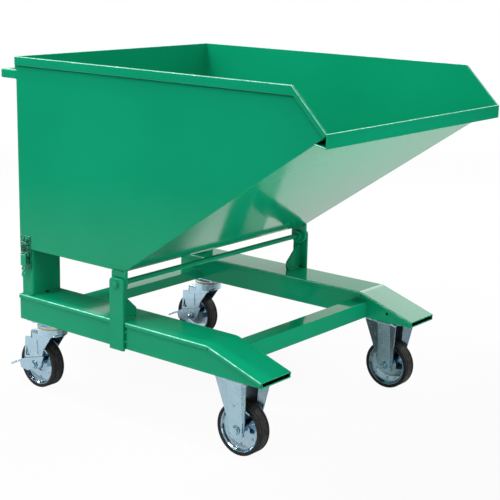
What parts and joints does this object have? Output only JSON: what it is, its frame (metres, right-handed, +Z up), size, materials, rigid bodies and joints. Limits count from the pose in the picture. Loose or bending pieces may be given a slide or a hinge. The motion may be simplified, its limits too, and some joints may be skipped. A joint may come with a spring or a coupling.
{
  "type": "tipping waste cart",
  "caption": "Sheet-steel waste tub that tips forward on a castered chassis, with push handle, side latches, fixed front wheels and braked swivel rear wheels.",
  "frame": {"origin": "on the floor below the middle of the bounding box", "axes": "+X the way the tub tips, +Y to the cart's left, +Z up"},
  "size_m": [1.201, 0.874, 1.015],
  "materials": {
    "green_paint": "gloss",
    "zinc_steel": "zinc plated",
    "tyre_rubber": "matte"
  },
  "bodies": {
    "chassis": {"beam_tray_left": "green_paint", "beam_tray_right": "green_paint", "beam_cap_left": "green_paint", "beam_cap_right": "green_paint", "post_left": "green_paint", "post_right": "green_paint", "pivot_bar_left": "green_paint", "pivot_bar_right": "green_paint", "gusset_left": "green_paint", "gusset_right": "green_paint", "shaft_washer_left": "green_paint", "shaft_washer_right": "green_paint", "latch_base_left": "green_paint", "latch_base_right": "green_paint", "latch_pin_left": "green_paint", "latch_pin_right": "green_paint", "caster_plate_left": "zinc_steel", "caster_plate_right": "zinc_steel", "front_fork_left": "zinc_steel", "front_fork_right": "zinc_steel", "front_axle_left": "zinc_steel", "front_axle_right": "zinc_steel", "cross_front": "green_paint", "cross_rear": "green_paint", "pivot_shaft": "green_paint"},
    "tub": {"tub_rear": "green_paint", "tub_floor": "green_paint", "tub_slope": "green_paint", "tub_lip": "green_paint", "rim_rear": "green_paint", "push_handle": "green_paint", "tub_side_left": "green_paint", "tub_side_right": "green_paint", "rim_side_left": "green_paint", "rim_side_right": "green_paint", "pivot_lug_left": "green_paint", "pivot_lug_right": "green_paint", "keeper_left": "green_paint", "keeper_right": "green_paint"},
    "swivel_left": {"rear_fork_left": "zinc_steel", "rear_axle_left": "zinc_steel"},
    "pedal_left": {"brake_pedal_left": "zinc_steel"},
    "front_wheel_left": {"front_rim_left": "zinc_steel", "front_tyre_left": "tyre_rubber"},
    "rear_wheel_left": {"rear_rim_left": "zinc_steel", "rear_tyre_left": "tyre_rubber"},
    "lever_left": {"latch_lever_left": "green_paint"},
    "bail_left": {"latch_bail_left": "green_paint"},
    "swivel_right": {"rear_fork_right": "zinc_steel", "rear_axle_right": "zinc_steel"},
    "pedal_right": {"brake_pedal_right": "zinc_steel"},
    "front_wheel_right": {"front_rim_right": "zinc_steel", "front_tyre_right": "tyre_rubber"},
    "rear_wheel_right": {"rear_rim_right": "zinc_steel", "rear_tyre_right": "tyre_rubber"},
    "lever_right": {"latch_lever_right": "green_paint"},
    "bail_right": {"latch_bail_right": "green_paint"}
  },
  "joints": [
    {"name": "tub_tilt", "type": "hinge", "parent": "chassis", "child": "tub", "pos_m": [-0.098, 0, 0.412], "axis": [0, 1, 0], "range_deg": [0, 53]},
    {"name": "swivel_turn_left", "type": "hinge", "parent": "chassis", "child": "swivel_left", "pos_m": [-0.4435, 0.362, 0.181], "axis": [0, 0, 1], "continuous": true},
    {"name": "rear_wheel_spin_left", "type": "hinge", "parent": "swivel_left", "child": "rear_wheel_left", "pos_m": [-0.4915, 0.362, 0.075], "axis": [0, 1, 0], "continuous": true},
    {"name": "front_wheel_spin_left", "type": "hinge", "parent": "chassis", "child": "front_wheel_left", "pos_m": [0.3125, 0.362, 0.075], "axis": [0, 1, 0], "continuous": true},
    {"name": "pedal_lift_left", "type": "hinge", "parent": "swivel_left", "child": "pedal_left", "pos_m": [-0.4915, 0.362, 0.075], "axis": [0, 1, 0], "range_deg": [0, 20]},
    {"name": "lever_pull_left", "type": "hinge", "parent": "chassis", "child": "lever_left", "pos_m": [-0.4895, 0.4265, 0.433], "axis": [1, 0, 0], "range_deg": [0, 120]},
    {"name": "bail_swing_left", "type": "hinge", "parent": "lever_left", "child": "bail_left", "pos_m": [-0.4895, 0.425, 0.407], "axis": [1, 0, 0], "range_deg": [-120, 0]},
    {"name": "swivel_turn_right", "type": "hinge", "parent": "chassis", "child": "swivel_right", "pos_m": [-0.4435, -0.362, 0.181], "axis": [0, 0, 1], "continuous": true},
    {"name": "rear_wheel_spin_right", "type": "hinge", "parent": "swivel_right", "child": "rear_wheel_right", "pos_m": [-0.4915, -0.362, 0.075], "axis": [0, 1, 0], "continuous": true},
    {"name": "front_wheel_spin_right", "type": "hinge", "parent": "chassis", "child": "front_wheel_right", "pos_m": [0.3125, -0.362, 0.075], "axis": [0, 1, 0], "continuous": true},
    {"name": "pedal_lift_right", "type": "hinge", "parent": "swivel_right", "child": "pedal_right", "pos_m": [-0.4915, -0.362, 0.075], "axis": [0, 1, 0], "range_deg": [0, 20]},
    {"name": "lever_pull_right", "type": "hinge", "parent": "chassis", "child": "lever_right", "pos_m": [-0.4895, -0.4265, 0.433], "axis": [-1, 0, 0], "range_deg": [0, 120]},
    {"name": "bail_swing_right", "type": "hinge", "parent": "lever_right", "child": "bail_right", "pos_m": [-0.4895, -0.425, 0.407], "axis": [-1, 0, 0], "range_deg": [-120, 0]}
  ],
  "couplings": [
    {"joint": "bail_swing_left", "follows": "lever_pull_left", "ratio": -1},
    {"joint": "bail_swing_right", "follows": "lever_pull_right", "ratio": -1}
  ]
}
